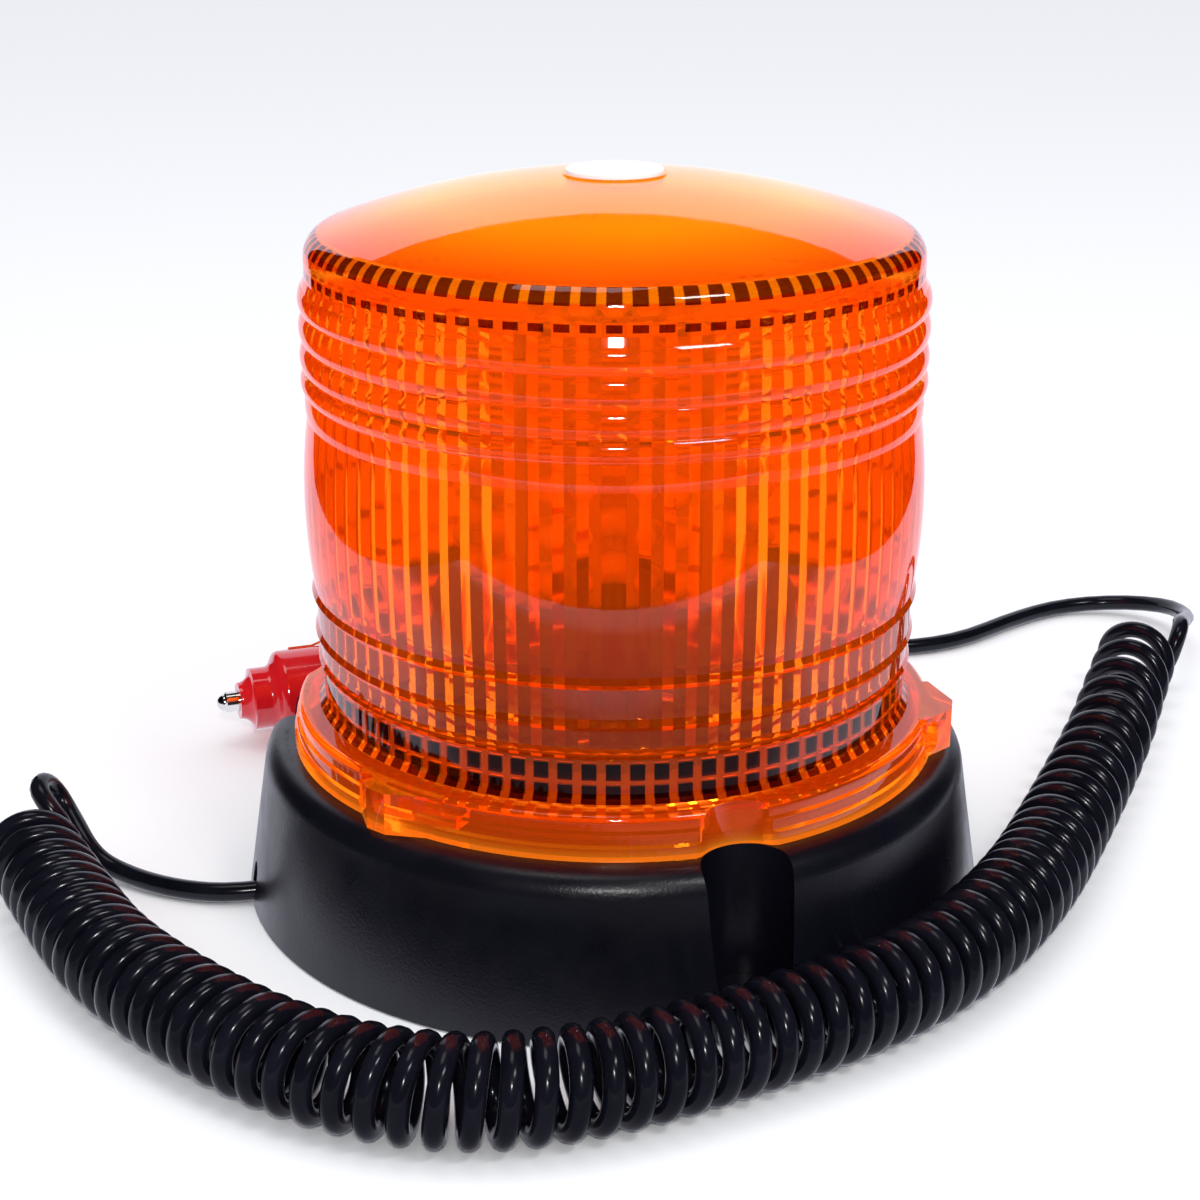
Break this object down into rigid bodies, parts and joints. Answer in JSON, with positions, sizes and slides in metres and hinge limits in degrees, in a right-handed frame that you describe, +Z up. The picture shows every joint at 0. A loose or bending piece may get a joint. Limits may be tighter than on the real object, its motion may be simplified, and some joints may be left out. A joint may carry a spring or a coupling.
{
  "type": "warning beacon",
  "caption": "Dome-lens LED warning beacon on a magnetic base, with a curly cord and a vehicle lighter plug.",
  "frame": {"origin": "on the beacon's axis at the bottom face of the rubber pad, where it stands", "axes": "+Z up along the beacon's axis, -Y the front, +X to the right seen from the front"},
  "size_m": [0.2785, 0.2654, 0.144],
  "materials": {
    "base_black": "satin with a fine moulded grain",
    "rubber": "matt",
    "magnet": "ground ferrite",
    "zinc": "zinc plated",
    "chassis_grey": "satin",
    "amber_lens": "clear amber, polished",
    "disc_white": "satin",
    "board_green": "solder mask",
    "board_white": "white solder mask",
    "terminal": "moulded",
    "capacitor": "sleeved",
    "ferrite": "sintered, wound",
    "chip_black": "moulded",
    "cover_black": "satin",
    "aluminium": "extruded",
    "led_clear": "water clear",
    "cord_black": "glossy flexible sheath",
    "wire_red": "satin",
    "wire_black": "satin",
    "nickel": "nickel plated brass",
    "plug_red": "glossy",
    "fuse_glass": "clear tube with plated caps",
    "spring_steel": "drawn wire",
    "boot_red": "satin"
  },
  "bodies": {
    "beacon": {"base_housing": "base_black", "rubber_pad": "rubber", "magnet_ring": "magnet", "keeper_plate": "zinc", "keeper_screws": "zinc", "chassis": "chassis_grey", "chassis_screws": "zinc", "lens_gasket": "rubber", "driver_board": "board_green", "board_screws": "zinc", "terminal_block": "terminal", "capacitors": "capacitor", "inductor": "ferrite", "regulator": "chip_black", "control_chip": "chip_black", "driver_cover": "cover_black", "cover_screws": "zinc", "led_core": "aluminium", "led_boards": "board_white", "side_leds": "led_clear", "top_board": "board_white", "top_leds": "led_clear", "tower_bolt": "zinc", "tower_nut": "zinc", "cord_inner": "cord_black", "wire_positive": "wire_red", "wire_negative": "wire_black", "cord_clamp": "base_black", "clamp_screws": "zinc", "tip_spring": "spring_steel", "plug_body_upper": "plug_red", "plug_body_lower": "plug_red", "plug_screw": "zinc", "plug_boot": "boot_red", "cord_coil": "cord_black", "cord_lead_base": "cord_black", "cord_lead_plug": "cord_black"},
    "lens_cap": {"lens": "amber_lens", "top_disc": "disc_white"},
    "plug_cap": {"plug_nose": "plug_red"},
    "contact_pin": {"plug_tip": "nickel", "plug_fuse": "fuse_glass"},
    "upper_strip": {"side_contact_upper": "nickel"},
    "lower_strip": {"side_contact_lower": "nickel"}
  },
  "joints": [
    {"name": "lens_twist", "type": "hinge", "parent": "beacon", "child": "lens_cap", "pos_m": [0, 0, 0.038], "axis": [0, 0, 1], "range_deg": [0, 20]},
    {"name": "plug_cap_turn", "type": "hinge", "parent": "beacon", "child": "plug_cap", "pos_m": [-0.08072, 0.0637, 0.0107], "axis": [0.9397, 0.342, 0], "range_deg": [0, 180]},
    {"name": "pin_press", "type": "slide", "parent": "beacon", "child": "contact_pin", "axis": [0.9397, 0.342, 0], "range_m": [0, 0.0025], "stiffness_N_per_m": 900, "springref_m": -0.001, "deforming": ["tip_spring"]},
    {"name": "upper_strip_press", "type": "slide", "parent": "beacon", "child": "upper_strip", "axis": [0.171, -0.4698, -0.866], "range_m": [0, 0.0013], "stiffness_N_per_m": 1200, "springref_m": -0.0004},
    {"name": "lower_strip_press", "type": "slide", "parent": "beacon", "child": "lower_strip", "axis": [-0.171, 0.4698, 0.866], "range_m": [0, 0.0013], "stiffness_N_per_m": 1200, "springref_m": -0.0004}
  ]
}
